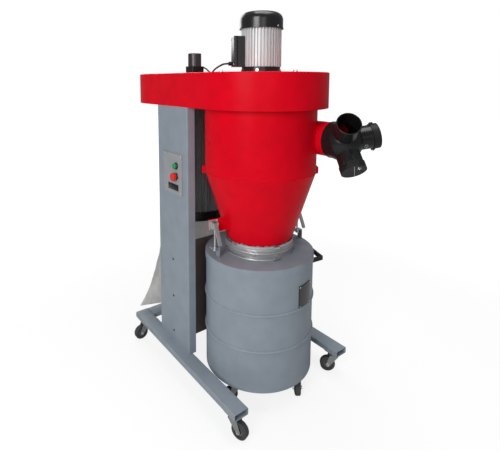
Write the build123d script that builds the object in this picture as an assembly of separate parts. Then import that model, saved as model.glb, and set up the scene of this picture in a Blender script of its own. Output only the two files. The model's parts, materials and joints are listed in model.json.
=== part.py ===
from build123d import *
import os
from math import cos, radians, sin, sqrt

# Mobile two-stage dust extractor: cyclone, pleated filter, bag and rolling drum on one castor frame.
# All lengths are in millimetres. The origin is the floor point under the cyclone axis.
# +Z is up, -Y is the front where the legs are open, and X runs across the machine.

# Shared clearances
overrun = 6.0
fit_gap = 0.3
pin_gap = 0.05

# Frame legs and rear bar
castor_height = 102.5
leg_width = 70.0
leg_height = 29.0
leg_wall = 3.0
leg_corner = 5.0
drum_leg_gap = 26.0
leg_front_reach = 253.0
leg_rear_reach = 635.0

# Columns and cross panel
column_overlap = 24.0
column_depth = 40.0
column_setback = 103.0
column_width = 273.0
column_height = 1171.5
column_sheet = 3.0
column_bend = 6.0
panel_sheet = 3.0
drum_panel_gap = 14.0
panel_lift = 4.0
panel_height = 500.0

# Fan housing
housing_height = 153.0
housing_fillet = 5.0
filter_y = 548.0

# Cyclone
barrel_radius = 254.0
barrel_height = 289.0
cone_height = 305.0
cone_end_radius = 155.0
cyclone_wall = 3.0
top_flange_reach = 9.0
top_flange_height = 7.0
collar_radius = 150.0
collar_length = 22.0
lug_turns = (-38.0, 142.0)
lug_width = 24.0
lug_height = 34.0
lug_reach = 13.0
lug_fillet = 6.0

# Inlet stub and three-way adapter
inlet_setback = 2.0
inlet_drop = 135.0
inlet_radius = 75.0
inlet_wall = 3.0
inlet_reach = 296.0
adapter_wall = 4.0
adapter_overlap = 26.0
adapter_neck = 26.0
adapter_globe_radius = 84.0
port_radius = 50.0
port_reach = 142.0
port_splay = 54.0
port_turn = 12.0
port_count = 3
cap_wall = 3.0
cap_depth = 27.0
cap_ear_radius = 8.0
cap_ear_length = 14.0

# Fan motor
flange_radius = 86.0
flange_height = 26.0
fin_count = 40
fin_root_radius = 80.0
fin_tip_radius = 90.0
fin_thickness = 3.2
motor_height = 165.0
cover_radius = 96.0
cover_height = 73.0
cover_fillet = 34.0
cover_sheet = 2.0
cover_lip = 2.0
cover_lip_height = 5.0
grille_inner_radius = 18.0
grille_outer_radius = 56.0
grille_slots = 16
grille_slot_width = 6.0
box_turn = 150.0
box_width = 92.0
box_height = 132.0
box_reach = 129.0
box_base_depth = 22.0
box_edge_fillet = 5.0
gland_radius = 9.0
gland_length = 18.0
gland_lift = 14.0

# Filter cleaning drive
cleaner_base_width = 74.0
cleaner_base_height = 44.0
cleaner_radius = 36.5
cleaner_height = 71.0
cleaner_fillet = 4.0

# Cable from the terminal box to the cleaning drive
cable_diameter = 8.0
cable_lead = 18.0
cable_entry_x = 30.0
cable_entry_lift = 36.0
cable_bend_share = 0.45
cable_route = [
    (-153, 101, 1488),
    (-150, 140, 1476),
    (-128, 190, 1466),
    (-92, 250, 1461),
    (-48, 318, 1461),
    (0, 385, 1461),
    (26, 438, 1466),
    (30, 476, 1484),
]

# Filter cartridge, band and dust bag
filter_radius = 200.0
filter_pleat_depth = 14.0
filter_pleats = 72
filter_height = 578.0
band_height = 46.0
band_sheet = 6.0
bag_neck_radius = 196.0
bag_foot_lift = 150.0
bag_foot_width = 650.0
bag_foot_depth = 44.0
bag_middle_width_share = 1.15
bag_middle_depth_share = 0.72
bag_middle_height_share = 0.45

# Hose between the cone and the drum lid
hose_wall = 5.0
clamp_band_height = 9.0
clamp_band_sheet = 1.5
clamp_band_inset = 6.0
clamp_screw_turn = -104.0
clamp_screw_width = 14.0
clamp_screw_length = 28.0
clamp_screw_sink = 2.5

# Dust drum
drum_castor_height = 94.0
drum_radius = 250.0
drum_height = 543.0
drum_wall = 2.5
drum_bead = 6.0
drum_bead_lift_shares = (0.34, 0.64)
drum_base_sheet = 4.0
lid_sheet = 4.0
lid_skirt = 30.0
lid_skirt_sheet = 3.0
lid_edge_fillet = 2.5
window_turn = -79.0
window_width = 84.0
window_height = 96.0
window_lift = 403.0
window_sheet = 4.0
window_lap = 8.0
handle_turn = -20.0
handle_lift = 462.0
handle_span = 132.0
handle_grip = 96.0
handle_reach = 64.0
handle_bar = 10.0
handle_strap = 20.0

# Toggle clamps between the cone and the lid
clamp_turn = -8.0
rod_radius = 4.0
right_rod_gap = 34.7
right_post_inset = 11.3
left_rod_gap = 60.7
left_post_inset = 35.3
post_height = 42.0
post_sheet = 4.0
post_width = 30.0
tab_margin = 13.0
bracket_lift = 124.0
bracket_height = 50.0
bracket_sheet = 5.0
bracket_margin = 24.0
bracket_foot = 22.0
plate_width = 44.0
plate_height = 46.0
plate_sheet = 3.0
toggle_ear_sheet = 4.0
toggle_ear_reach = 20.0
toggle_ear_width = 24.0
toggle_ear_height = 30.0
toggle_guide_height = 16.0
lever_length = 96.0
lever_width = 16.0
lever_sheet = 6.0
lever_swing = 28.0
pivot_radius = 4.0
rod_nut_radius = 8.0
rod_nut_height = 6.0

# Control panel on the left column
control_width = 170.0
control_height = 192.0
control_sheet = 6.0
control_rear_gap = 64.0
control_lift = 759.0
button_y_share = 0.29
start_lift_share = 0.71
stop_lift_share = 0.45
button_stem_radius = 11.0
button_stem_depth = 1.5
start_head_radius = 13.0
start_head_height = 7.0
start_stand_off = 8.0
stop_head_radius = 20.0
stop_head_height = 12.0
stop_stand_off = 12.0
button_fillet = 2.5

# Frame castors
wheel_radius = 36.0
wheel_width = 26.0
castor_trail = 28.0
castor_plate_width = 62.0
castor_inset = 45.0
frame_castor_headings = {"front_left": -72.0, "front_right": 137.0, "rear_left": 180.0, "rear_right": 58.0}

# Drum castors
drum_wheel_radius = 33.0
drum_wheel_width = 24.0
drum_castor_trail = 24.0
drum_castor_plate_width = 52.0
drum_castor_inset = 47.0
drum_castor_turn = -71.0
drum_castor_headings = {"front": -127.0, "right": -30.0, "back": 75.0, "left": 160.0}

# Details that both castor sizes share
castor_plate_sheet = 4.0
fork_sheet = 3.0
fork_crown_sheet = 5.0
fork_side_gap = 2.0
fork_neck_radius = 16.0
fork_crown_length = 40.0
fork_boss_radius = 10.0
fork_wheel_gap = 6.0
kingpin_radius = 6.0
kingpin_length = 9.0
axle_radius = 5.0
axle_head = 2.5
wheel_tread_fillet = 5.0
wheel_dish_radius = 22.0
wheel_dish_depth = 4.0
wheel_hub_radius = 10.0

# Heights and places that follow from the sizes above
leg_top = castor_height + leg_height
leg_inner_x = drum_radius + drum_leg_gap
leg_outer_x = leg_inner_x + leg_width
leg_length = leg_front_reach + leg_rear_reach
leg_mid_x = leg_outer_x - leg_width / 2
leg_mid_y = (leg_rear_reach - leg_front_reach) / 2
column_outer_x = leg_inner_x + column_overlap
column_front_y = barrel_radius - column_setback
column_rear_y = column_front_y + column_width
panel_y = drum_radius + drum_panel_gap
housing_radius = column_outer_x
housing_bottom = leg_top + column_height
housing_top = housing_bottom + housing_height
crease_z = housing_bottom - barrel_height
cone_bottom = crease_z - cone_height
inlet_x = barrel_radius - inlet_radius - inlet_setback
inlet_z = housing_bottom - inlet_drop
adapter_start = inlet_reach - adapter_overlap
adapter_centre = inlet_reach + adapter_neck
flange_top = housing_top + flange_height
motor_top = flange_top + motor_height
cover_top = motor_top + cover_height
drum_top = drum_castor_height + drum_height
lid_top = drum_top + lid_sheet
lid_radius = drum_radius + fit_gap + lid_skirt_sheet
drum_castor_ring = drum_radius - drum_castor_inset
hose_inner_radius = collar_radius + fit_gap
hose_outer_radius = hose_inner_radius + hose_wall
filter_bottom = housing_bottom - filter_height
tab_z = lid_top + post_height
bracket_bottom = lid_top + bracket_lift
bracket_middle = bracket_bottom + bracket_height / 2
bracket_cone_share = (bracket_middle - cone_bottom) / cone_height
bracket_cone_radius = cone_end_radius + (barrel_radius - cone_end_radius) * bracket_cone_share
right_rod_reach = bracket_cone_radius + right_rod_gap
left_rod_reach = bracket_cone_radius + left_rod_gap
right_post_reach = lid_radius - right_post_inset
left_post_reach = lid_radius - left_post_inset
rod_y = -plate_sheet - toggle_ear_reach / 2


def ring(inner, outer, bottom, top):
    """Upright ring about the Z axis."""
    return Pos(0, 0, bottom) * extrude(Circle(outer) - Circle(inner), amount=top - bottom)


def disc(radius, bottom, top):
    """Upright cylinder about the Z axis."""
    return Pos(0, 0, bottom) * extrude(Circle(radius), amount=top - bottom)


def block(x_low, x_high, y_low, y_high, z_low, z_high):
    """Box between two corners."""
    size = Box(x_high - x_low, y_high - y_low, z_high - z_low)
    return Pos((x_low + x_high) / 2, (y_low + y_high) / 2, (z_low + z_high) / 2) * size


def spin(points):
    """Solid of revolution about the Z axis from (radius, height) points."""
    return revolve(Plane.XZ * make_face(Polyline(*points, close=True)), Axis.Z)


def rod_along(plane, radius, length):
    """Cylinder that starts on a plane and runs along its normal."""
    return plane * extrude(Circle(radius), amount=length)


def rectangular_tube(length):
    """Open-ended rectangular tube along Y, centred on the origin."""
    section = RectangleRounded(leg_width, leg_height, leg_corner)
    section -= RectangleRounded(leg_width - 2 * leg_wall, leg_height - 2 * leg_wall, leg_corner - leg_wall)
    return extrude(Plane.XZ * section, amount=length / 2, both=True)


def folded_column():
    """Right-hand column: an upright channel folded from sheet, open towards the machine's middle."""
    outer = Rectangle(column_depth, column_width)
    outer = fillet(outer.vertices().group_by(Axis.X)[-1], column_bend)
    inner = Rectangle(column_depth, column_width - 2 * column_sheet)
    inner = fillet(inner.vertices().group_by(Axis.X)[-1], column_bend - column_sheet)
    section = outer - Pos(-column_sheet, 0) * inner
    middle_x = column_outer_x - column_depth / 2
    return Pos(middle_x, column_front_y + column_width / 2, leg_top) * extrude(section, amount=column_height)


def frame_nodes():
    """Two legs, the rear bar, two folded columns and the dark cross panel."""
    leg = Pos(leg_mid_x, leg_mid_y, castor_height + leg_height / 2) * rectangular_tube(leg_length)
    bar = Rot(0, 0, 90) * rectangular_tube(2 * leg_inner_x)
    bar = Pos(0, leg_rear_reach - leg_width / 2, castor_height + leg_height / 2) * bar
    web_x = column_outer_x - column_sheet
    column = folded_column()
    panel_bottom = leg_top + panel_lift
    panel_rear = panel_y + panel_sheet
    panel = block(-web_x, web_x, panel_y, panel_rear, panel_bottom, panel_bottom + panel_height)
    return {
        "left_leg": mirror(leg, about=Plane.YZ),
        "right_leg": leg,
        "rear_crossbar": bar,
        "left_column": mirror(column, about=Plane.YZ),
        "right_column": column,
        "cross_panel": panel,
    }


def fan_housing():
    """Round-ended housing over the cyclone and the filter, with a softened top edge."""
    outline = Pos(0, filter_y / 2) * SlotCenterToCenter(filter_y, 2 * housing_radius, rotation=90)
    housing = Pos(0, 0, housing_bottom) * extrude(outline, amount=housing_height)
    return fillet(housing.faces().sort_by(Axis.Z)[-1].edges(), housing_fillet)


def cyclone_lug(turn):
    """Rounded tab at the crease between barrel and cone."""
    tab = Box(2 * lug_reach, lug_width, lug_height)
    tab = fillet(tab.edges().filter_by(Axis.Y), lug_fillet)
    return Rot(0, 0, turn) * Pos(barrel_radius, 0, crease_z) * tab


def cyclone_body():
    """Sheet cyclone with top flange, barrel, cone, lower collar and the welded inlet stub."""
    flange_bottom = housing_bottom - top_flange_height
    flange_edge = barrel_radius + top_flange_reach
    outer = spin([
        (0, housing_bottom), (flange_edge, housing_bottom), (flange_edge, flange_bottom),
        (barrel_radius, flange_bottom), (barrel_radius, crease_z), (cone_end_radius, cone_bottom),
        (collar_radius, cone_bottom), (collar_radius, cone_bottom - collar_length),
        (0, cone_bottom - collar_length),
    ])
    collar_bore = collar_radius - cyclone_wall
    barrel_bore = barrel_radius - cyclone_wall
    inner = spin([
        (0, housing_bottom + overrun), (barrel_bore, housing_bottom + overrun), (barrel_bore, crease_z),
        (collar_bore, cone_bottom), (collar_bore, cone_bottom - collar_length - overrun),
        (0, cone_bottom - collar_length - overrun),
    ])
    mouth = Plane((inlet_x, 0, inlet_z), x_dir=(1, 0, 0), z_dir=(0, -1, 0))
    outer += rod_along(mouth, inlet_radius, inlet_reach)
    outer += [cyclone_lug(turn) for turn in lug_turns]
    return outer - inner - rod_along(mouth, inlet_radius - inlet_wall, inlet_reach + overrun)


def port_direction(index):
    """Unit vector along one of the splayed hose ports."""
    turn = radians(port_turn + index * 360 / port_count)
    splay = radians(port_splay)
    return Vector(sin(splay) * cos(turn), -cos(splay), sin(splay) * sin(turn))


def port_plane(index, distance):
    """Plane across a hose port at a distance from the adapter's centre."""
    way = port_direction(index)
    centre = Vector(inlet_x, -adapter_centre, inlet_z) + way * distance
    return Plane(centre, x_dir=Vector(0, 1, 0).cross(way), z_dir=way)


def adapter_globe(globe_radius, sleeve_radius, extra):
    """Globe and its sleeve, turned about the inlet axis; extra lengthens the sleeve's open end."""
    start = adapter_start - adapter_centre - extra
    shoulder = -sqrt(globe_radius ** 2 - sleeve_radius ** 2)
    profile = [
        Line((0, start), (sleeve_radius, start)),
        Line((sleeve_radius, start), (sleeve_radius, shoulder)),
        ThreePointArc((sleeve_radius, shoulder), (globe_radius, 0), (0, globe_radius)),
        Line((0, globe_radius), (0, start)),
    ]
    globe = revolve(make_face(profile), Axis.Y)
    return Pos(inlet_x, -adapter_centre, inlet_z) * Rot(180, 0, 0) * globe


def inlet_adapter():
    """Moulded globe that slips over the stub and carries three splayed hose ports."""
    sleeve_bore = inlet_radius + fit_gap
    outer = adapter_globe(adapter_globe_radius, sleeve_bore + adapter_wall, 0)
    inner = adapter_globe(adapter_globe_radius - adapter_wall, sleeve_bore, overrun)
    for index in range(port_count):
        outer += rod_along(port_plane(index, 0), port_radius, port_reach)
        inner += rod_along(port_plane(index, 0), port_radius - adapter_wall, port_reach + overrun)
    return outer - inner


def port_cap(index):
    """Push-on cap with two small screw ears."""
    skirt = port_plane(index, port_reach - cap_depth)
    bore = port_radius + fit_gap
    radius = bore + cap_wall
    cap = rod_along(skirt, radius, cap_depth + cap_wall)
    for side in (-1, 1):
        ear = Plane(skirt.origin + skirt.x_dir * radius * side, x_dir=skirt.x_dir, z_dir=skirt.z_dir)
        cap += rod_along(ear, cap_ear_radius, cap_ear_length)
    return cap - rod_along(skirt.offset(-overrun), bore, cap_depth + overrun)


def cover_dome(radius, bottom, top, edge):
    """Cylinder with a rounded upper edge."""
    dome = disc(radius, bottom, top)
    return fillet(dome.faces().sort_by(Axis.Z)[-1].edges(), edge)


def fan_cover():
    """Domed sheet cowl with a lip, an end ring on the fins and a slotted air grille on top."""
    cover = cover_dome(cover_radius, motor_top, cover_top, cover_fillet)
    hollow_radius = cover_radius - cover_sheet
    cover -= cover_dome(hollow_radius, motor_top - overrun, cover_top - cover_sheet, cover_fillet - cover_sheet)
    cover += ring(fin_root_radius, cover_radius + cover_lip, motor_top, motor_top + cover_lip_height)
    slot_length = grille_outer_radius - grille_inner_radius
    slot_places = PolarLocations((grille_inner_radius + grille_outer_radius) / 2, grille_slots)
    slots = Sketch() + [place * SlotOverall(slot_length, grille_slot_width) for place in slot_places]
    return cover - Pos(0, 0, cover_top - 2 * cover_sheet) * extrude(slots, amount=2 * cover_sheet + overrun)


def motor_nodes():
    """Upright fan motor: base flange, finned body, fan cover and side terminal box."""
    flange = disc(flange_radius, housing_top, flange_top)
    fin_length = fin_tip_radius - fin_root_radius + fin_thickness
    fin_mid = fin_tip_radius - fin_length / 2
    section = Circle(fin_root_radius)
    section += [place * Rectangle(fin_length, fin_thickness) for place in PolarLocations(fin_mid, fin_count)]
    body = Pos(0, 0, flange_top) * extrude(section, amount=motor_height)
    box_bottom = flange_top
    box_top = box_bottom + box_height
    half = box_width / 2
    base_reach = fin_tip_radius + box_base_depth
    base_half = half - box_edge_fillet
    base = block(0, base_reach, -base_half, base_half, box_bottom, box_top)
    lid = block(base_reach, box_reach, -half, half, box_bottom, box_top)
    lid = fillet(lid.edges().filter_by(Axis.Z), box_edge_fillet)
    box = base + lid
    gland_plane = Plane((box_reach, 0, box_bottom + gland_lift), x_dir=(0, 1, 0), z_dir=(1, 0, 0))
    box += rod_along(gland_plane, gland_radius, gland_length)
    box -= disc(fin_tip_radius + fit_gap, box_bottom - overrun, box_top + overrun)
    return {
        "motor_flange": flange,
        "motor_body": body,
        "motor_fan_cover": fan_cover(),
        "terminal_box": Rot(0, 0, box_turn) * box,
    }


def cleaner_nodes():
    """Small drive on the housing that turns the filter's cleaning paddles."""
    half = cleaner_base_width / 2
    base_top = housing_top + cleaner_base_height
    base = block(-half, half, filter_y - half, filter_y + half, housing_top, base_top)
    base = fillet(base.edges().filter_by(Axis.Z), cleaner_fillet)
    drive = disc(cleaner_radius, base_top, base_top + cleaner_height)
    drive = fillet(drive.faces().sort_by(Axis.Z)[-1].edges(), cleaner_fillet)
    return {"cleaner_base": base, "cleaner_motor": Pos(0, filter_y) * drive}


def motor_cable():
    """Lead along the housing top, from the terminal box gland to the cleaning drive."""
    turn = radians(box_turn)
    outward = Vector(cos(turn), sin(turn), 0)
    start = outward * (box_reach + gland_length) + Vector(0, 0, flange_top + gland_lift)
    end = Vector(cable_entry_x, filter_y - cleaner_base_width / 2, housing_top + cable_entry_lift)
    lead_in = end - Vector(0, cable_lead, 0)
    route = [Vector(*point) for point in cable_route]
    points = [start, start + outward * cable_lead] + route + [lead_in, end]
    radii = []
    for before, here, after in zip(points, points[1:], points[2:]):
        bend = radians((here - before).get_angle(after - here))
        shorter = min((here - before).length, (after - here).length)
        radii.append(cable_bend_share * shorter / (sin(bend / 2) / cos(bend / 2)))
    path = FilletPolyline(*points, radius=radii)
    section = Plane(path @ 0, z_dir=path % 0) * Circle(cable_diameter / 2)
    return sweep(section, path=path)


def filter_cartridge():
    """Pleated cartridge under the rear of the housing."""
    corners = []
    for index in range(2 * filter_pleats):
        turn = radians(index * 180 / filter_pleats)
        radius = filter_radius - filter_pleat_depth * (index % 2)
        corners.append((radius * cos(turn), radius * sin(turn)))
    pleats = extrude(make_face(Polyline(*corners, close=True)), amount=filter_height)
    return Pos(0, filter_y, filter_bottom) * pleats


def filter_band():
    """Black clamping band that closes the filter's lower end and carries the bag."""
    outer = filter_radius + band_sheet
    band = disc(outer, filter_bottom - band_height, filter_bottom)
    return Pos(0, filter_y) * fillet(band.edges(), band_sheet / 2)


def dust_bag():
    """Plastic bag: round at the band, flattened to a wide seam above the legs."""
    neck_z = filter_bottom - band_height
    middle_z = bag_foot_lift + (neck_z - bag_foot_lift) * bag_middle_height_share
    middle_x = bag_neck_radius * bag_middle_width_share
    middle_y = bag_neck_radius * bag_middle_depth_share
    sections = [
        Pos(0, filter_y, neck_z) * Ellipse(bag_neck_radius, bag_neck_radius - fit_gap),
        Pos(0, filter_y, middle_z) * Ellipse(middle_x, middle_y),
        Pos(0, filter_y, bag_foot_lift) * Ellipse(bag_foot_width / 2, bag_foot_depth / 2),
    ]
    return loft(sections)


def hose_nodes():
    """Flexible hose that joins the cone to the lid, with two worm-drive clamps."""
    hose = ring(hose_inner_radius, hose_outer_radius, lid_top, cone_bottom)
    clamp_inner = hose_outer_radius
    clamp_outer = clamp_inner + clamp_band_sheet
    clamps = []
    upper = cone_bottom - clamp_band_inset - clamp_band_height
    for bottom in (lid_top + clamp_band_inset, upper):
        band = ring(clamp_inner, clamp_outer, bottom, bottom + clamp_band_height)
        screw_x = clamp_outer + clamp_screw_width / 2 - clamp_screw_sink
        screw = Pos(screw_x, 0, bottom + clamp_band_height / 2)
        screw *= Box(clamp_screw_width, clamp_screw_length, clamp_band_height)
        band += Rot(0, 0, clamp_screw_turn) * screw
        clamps.append(band - disc(clamp_inner, bottom - overrun, bottom + clamp_band_height + overrun))
    return {"flexible_hose": hose, "hose_clamps": Compound(children=clamps)}


def window_cut(width, height, inner, outer):
    """Curved patch of the drum wall at the sight window."""
    patch = Pos(drum_radius, 0, drum_castor_height + window_lift) * Box(drum_radius, width, height)
    return ring(inner, outer, drum_castor_height, drum_top) & (Rot(0, 0, window_turn) * patch)


def dust_drum():
    """Sheet drum with a flat base and two rolled beads."""
    drum = disc(drum_radius, drum_castor_height, drum_top)
    for share in drum_bead_lift_shares:
        drum += Pos(0, 0, drum_castor_height + share * drum_height) * Torus(drum_radius, drum_bead)
    bore = drum_radius - drum_wall
    drum -= disc(bore, drum_castor_height + drum_base_sheet, drum_top + overrun)
    opening_width = window_width - 2 * window_lap
    opening_height = window_height - 2 * window_lap
    return drum - window_cut(opening_width, opening_height, bore - overrun, drum_radius + overrun)


def catch_post(rod_reach, post_reach):
    """Bent strap on the lid that takes the lower end of a clamp rod."""
    low_x, high_x = sorted((post_reach, post_reach + post_sheet))
    post = block(low_x, high_x, -post_width / 2, post_width / 2, lid_top, tab_z)
    tab_low = min(low_x, rod_reach - tab_margin)
    tab_high = max(high_x, rod_reach + tab_margin)
    tab = block(tab_low, tab_high, -post_width / 2, post_width / 2, tab_z, tab_z + post_sheet)
    hole = Pos(rod_reach, rod_y) * disc(rod_radius + fit_gap, tab_z - overrun, tab_z + post_sheet + overrun)
    return post + tab - hole


def drum_lid():
    """Lid with turned-down skirt, raised hose collar and two clamp catches."""
    bore = collar_radius - cyclone_wall
    skirt_bore = drum_radius + fit_gap
    lid = spin([
        (bore, drum_top), (skirt_bore, drum_top), (skirt_bore, drum_top - lid_skirt),
        (lid_radius, drum_top - lid_skirt), (lid_radius, lid_top), (collar_radius, lid_top),
        (collar_radius, lid_top + collar_length), (bore, lid_top + collar_length),
    ])
    rims = lid.edges().filter_by(GeomType.CIRCLE).sort_by(SortBy.RADIUS)
    lid = fillet(rims[-2:].sort_by(Axis.Z)[-1], lid_edge_fillet)
    right = catch_post(right_rod_reach, right_post_reach)
    left = mirror(catch_post(left_rod_reach, left_post_reach), about=Plane.YZ)
    turn = Rot(0, 0, clamp_turn)
    return lid + turn * right + turn * left


def drum_handle():
    """Strap handle on the drum's side."""
    half = handle_span / 2
    grip = handle_grip / 2
    root = drum_radius - handle_bar
    tip = drum_radius + handle_reach
    outer = Polyline((root, -half), (tip, -grip), (tip, grip), (root, half), close=True)
    slope = (half - grip) / (tip - root)
    inner_tip = tip - handle_bar
    foot = half - handle_bar
    inner_half = foot - slope * (inner_tip - root)
    tip_corners = [(inner_tip, -inner_half), (inner_tip, inner_half)]
    inner = Polyline((root, -foot), *tip_corners, (root, foot), close=True)
    loop = extrude(make_face(outer), amount=handle_strap) - extrude(make_face(inner), amount=handle_strap)
    handle = Rot(0, 0, handle_turn) * Pos(0, 0, drum_castor_height + handle_lift) * loop
    return handle - disc(drum_radius, drum_castor_height, drum_top)


def cone_radius_at(height):
    """Outer radius of the cone at a height."""
    return cone_end_radius + (barrel_radius - cone_end_radius) * (height - cone_bottom) / cone_height


def clamp_bracket(rod_reach):
    """Red angle welded to the cone that carries one toggle clamp."""
    end_x = rod_reach + bracket_margin
    top = bracket_bottom + bracket_height
    start_x = cone_end_radius
    plate = block(start_x, end_x, 0, bracket_sheet, bracket_bottom, top)
    foot_end = end_x - plate_width
    foot_top = bracket_bottom + bracket_sheet
    plate += block(start_x, foot_end, -bracket_foot, bracket_sheet, bracket_bottom, foot_top)
    cone = spin([
        (0, cone_bottom), (cone_end_radius, cone_bottom),
        (cone_radius_at(top + overrun), top + overrun), (0, top + overrun),
    ])
    return plate - cone


def toggle_clamp(rod_reach):
    """Base plate, ears, hand lever and threaded rod of one toggle clamp."""
    plate_bottom = bracket_middle - plate_height / 2
    plate_top = plate_bottom + plate_height
    plate_high_x = rod_reach + bracket_margin
    clamp = block(plate_high_x - plate_width, plate_high_x, -plate_sheet, 0, plate_bottom, plate_top)
    ear_low = bracket_middle - toggle_ear_height / 2
    ear_y = -plate_sheet - toggle_ear_reach
    for side in (-1, 1):
        ear_x = rod_reach + side * (toggle_ear_width - toggle_ear_sheet) / 2
        ear_half = toggle_ear_sheet / 2
        ear_top = ear_low + toggle_ear_height
        clamp += block(ear_x - ear_half, ear_x + ear_half, ear_y, -plate_sheet, ear_low, ear_top)
    guide_half = toggle_ear_width / 2
    guide_top = ear_low + toggle_guide_height
    clamp += block(rod_reach - guide_half, rod_reach + guide_half, ear_y, -plate_sheet, ear_low, guide_top)
    clamp += Pos(rod_reach, rod_y) * disc(rod_radius, tab_z - rod_nut_height, ear_low)
    for nut_bottom in (tab_z - rod_nut_height, tab_z + post_sheet):
        clamp += Pos(rod_reach, rod_y) * disc(rod_nut_radius, nut_bottom, nut_bottom + rod_nut_height)
    lever = Pos(0, 0, -lever_length / 2) * Box(lever_width, lever_sheet, lever_length)
    lever = fillet(lever.edges().filter_by(Axis.Y), lever_sheet)
    pivot_z = ear_low + toggle_ear_height - lever_sheet
    pivot_y = ear_y + pivot_radius
    clamp += Pos(rod_reach, pivot_y, pivot_z) * Rot(-lever_swing, 0, 0) * lever
    pivot = Plane((rod_reach - guide_half, pivot_y, pivot_z), x_dir=(0, 1, 0), z_dir=(1, 0, 0))
    return clamp + rod_along(pivot, pivot_radius, 2 * guide_half)


def clamp_nodes():
    """Brackets and toggle clamps of both sides, turned to their places on the cone."""
    turn = Rot(0, 0, clamp_turn)
    brackets = [turn * clamp_bracket(right_rod_reach)]
    brackets.append(turn * mirror(clamp_bracket(left_rod_reach), about=Plane.YZ))
    toggles = [turn * toggle_clamp(right_rod_reach)]
    toggles.append(turn * mirror(toggle_clamp(left_rod_reach), about=Plane.YZ))
    return {"clamp_brackets": Compound(children=brackets), "toggle_clamps": Compound(children=toggles)}


def push_button(lift_share, head_radius, head_height, stand_off):
    """Button head and stem, pressed towards +X."""
    y = control_front_y() + control_width * button_y_share
    z = leg_top + control_lift + control_height * lift_share
    face_x = -column_outer_x - control_sheet
    stem_plane = Plane((face_x + button_stem_depth, y, z), x_dir=(0, 1, 0), z_dir=(-1, 0, 0))
    head = rod_along(stem_plane.offset(button_stem_depth + stand_off), head_radius, head_height)
    head = fillet(head.faces().sort_by(Axis.X)[0].edges(), button_fillet)
    return head + rod_along(stem_plane, button_stem_radius, button_stem_depth + stand_off)


def control_front_y():
    """Front edge of the control plate on the left column."""
    return column_rear_y - control_rear_gap - control_width


def control_nodes():
    """Plain control plate with a green start button and a red stop button."""
    bottom = leg_top + control_lift
    front = control_front_y()
    face_x = -column_outer_x - control_sheet
    plate = block(face_x, -column_outer_x, front, front + control_width, bottom, bottom + control_height)
    for share in (start_lift_share, stop_lift_share):
        y = front + control_width * button_y_share
        hole = Plane((face_x - overrun, y, bottom + control_height * share), x_dir=(0, 1, 0), z_dir=(1, 0, 0))
        plate -= rod_along(hole, button_stem_radius + fit_gap, control_sheet + overrun)
    return {
        "control_panel": plate,
        "start_button": push_button(start_lift_share, start_head_radius, start_head_height, start_stand_off),
        "stop_button": push_button(stop_lift_share, stop_head_radius, stop_head_height, stop_stand_off),
    }


def castor_plate(height, plate_width):
    """Top plate with its kingpin, swivel axis on Z."""
    underside = height - castor_plate_sheet
    plate = Pos(0, 0, underside + castor_plate_sheet / 2) * Box(plate_width, plate_width, castor_plate_sheet)
    return plate + disc(kingpin_radius, underside - kingpin_length, underside)


def castor_fork(height, radius, width, trail):
    """Fork with neck, crown, two cheeks and the wheel's axle, trailing towards +X."""
    neck_top = height - castor_plate_sheet - fit_gap
    crown_bottom = 2 * radius + fork_wheel_gap
    inner_y = width / 2 + fork_side_gap
    outer_y = inner_y + fork_sheet
    crown = block(
        -fork_crown_length / 2, fork_crown_length / 2, -outer_y, outer_y,
        crown_bottom, crown_bottom + fork_crown_sheet,
    )
    neck = disc(fork_neck_radius, crown_bottom, neck_top)
    neck -= disc(kingpin_radius + pin_gap, neck_top - kingpin_length - fit_gap, neck_top + overrun)
    boss = Pos(trail, radius) * Circle(fork_boss_radius)
    top = Pos(0, crown_bottom + fork_crown_sheet / 2) * Rectangle(fork_crown_length, fork_crown_sheet)
    cheek = make_hull(boss.edges() + top.edges())
    cheek = Plane.XZ * extrude(cheek, amount=fork_sheet)
    axle_plane = Plane((trail, -outer_y - axle_head, radius), x_dir=(1, 0, 0), z_dir=(0, 1, 0))
    fork = crown + neck
    fork += Pos(0, -inner_y, 0) * cheek
    fork += Pos(0, outer_y, 0) * cheek
    return fork + rod_along(axle_plane, axle_radius, 2 * (outer_y + axle_head))


def castor_wheel(radius, width, trail):
    """Wheel with rounded tread, dished sides and a plain bore."""
    wheel = extrude(Circle(radius), amount=width / 2, both=True)
    wheel = fillet(wheel.edges(), wheel_tread_fillet)
    dish = extrude(Circle(wheel_dish_radius) - Circle(wheel_hub_radius), amount=wheel_dish_depth)
    wheel -= Pos(0, 0, width / 2 - wheel_dish_depth) * dish
    wheel -= Pos(0, 0, -width / 2) * dish
    wheel -= extrude(Circle(axle_radius + pin_gap), amount=width, both=True)
    return Pos(trail, 0, radius) * Rot(90, 0, 0) * wheel


def castor_set(prefix, places, headings, height, radius, width, trail, plate_width):
    """Plates in one node, then a fork and a wheel for each castor."""
    nodes = {}
    plates = [Pos(x, y) * castor_plate(height, plate_width) for x, y in places.values()]
    nodes[prefix + "_castor_plates"] = Compound(children=plates)
    for name, (x, y) in places.items():
        stand = Pos(x, y) * Rot(0, 0, headings[name])
        nodes[f"{prefix}_{name}_fork"] = stand * castor_fork(height, radius, width, trail)
        nodes[f"{prefix}_{name}_wheel"] = stand * castor_wheel(radius, width, trail)
    return nodes


def frame_castors():
    """Four castors under the ends of the legs."""
    front = castor_inset - leg_front_reach
    rear = leg_rear_reach - castor_inset
    places = {
        "front_left": (-leg_mid_x, front), "front_right": (leg_mid_x, front),
        "rear_left": (-leg_mid_x, rear), "rear_right": (leg_mid_x, rear),
    }
    return castor_set(
        "frame", places, frame_castor_headings, castor_height, wheel_radius, wheel_width,
        castor_trail, castor_plate_width,
    )


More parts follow.
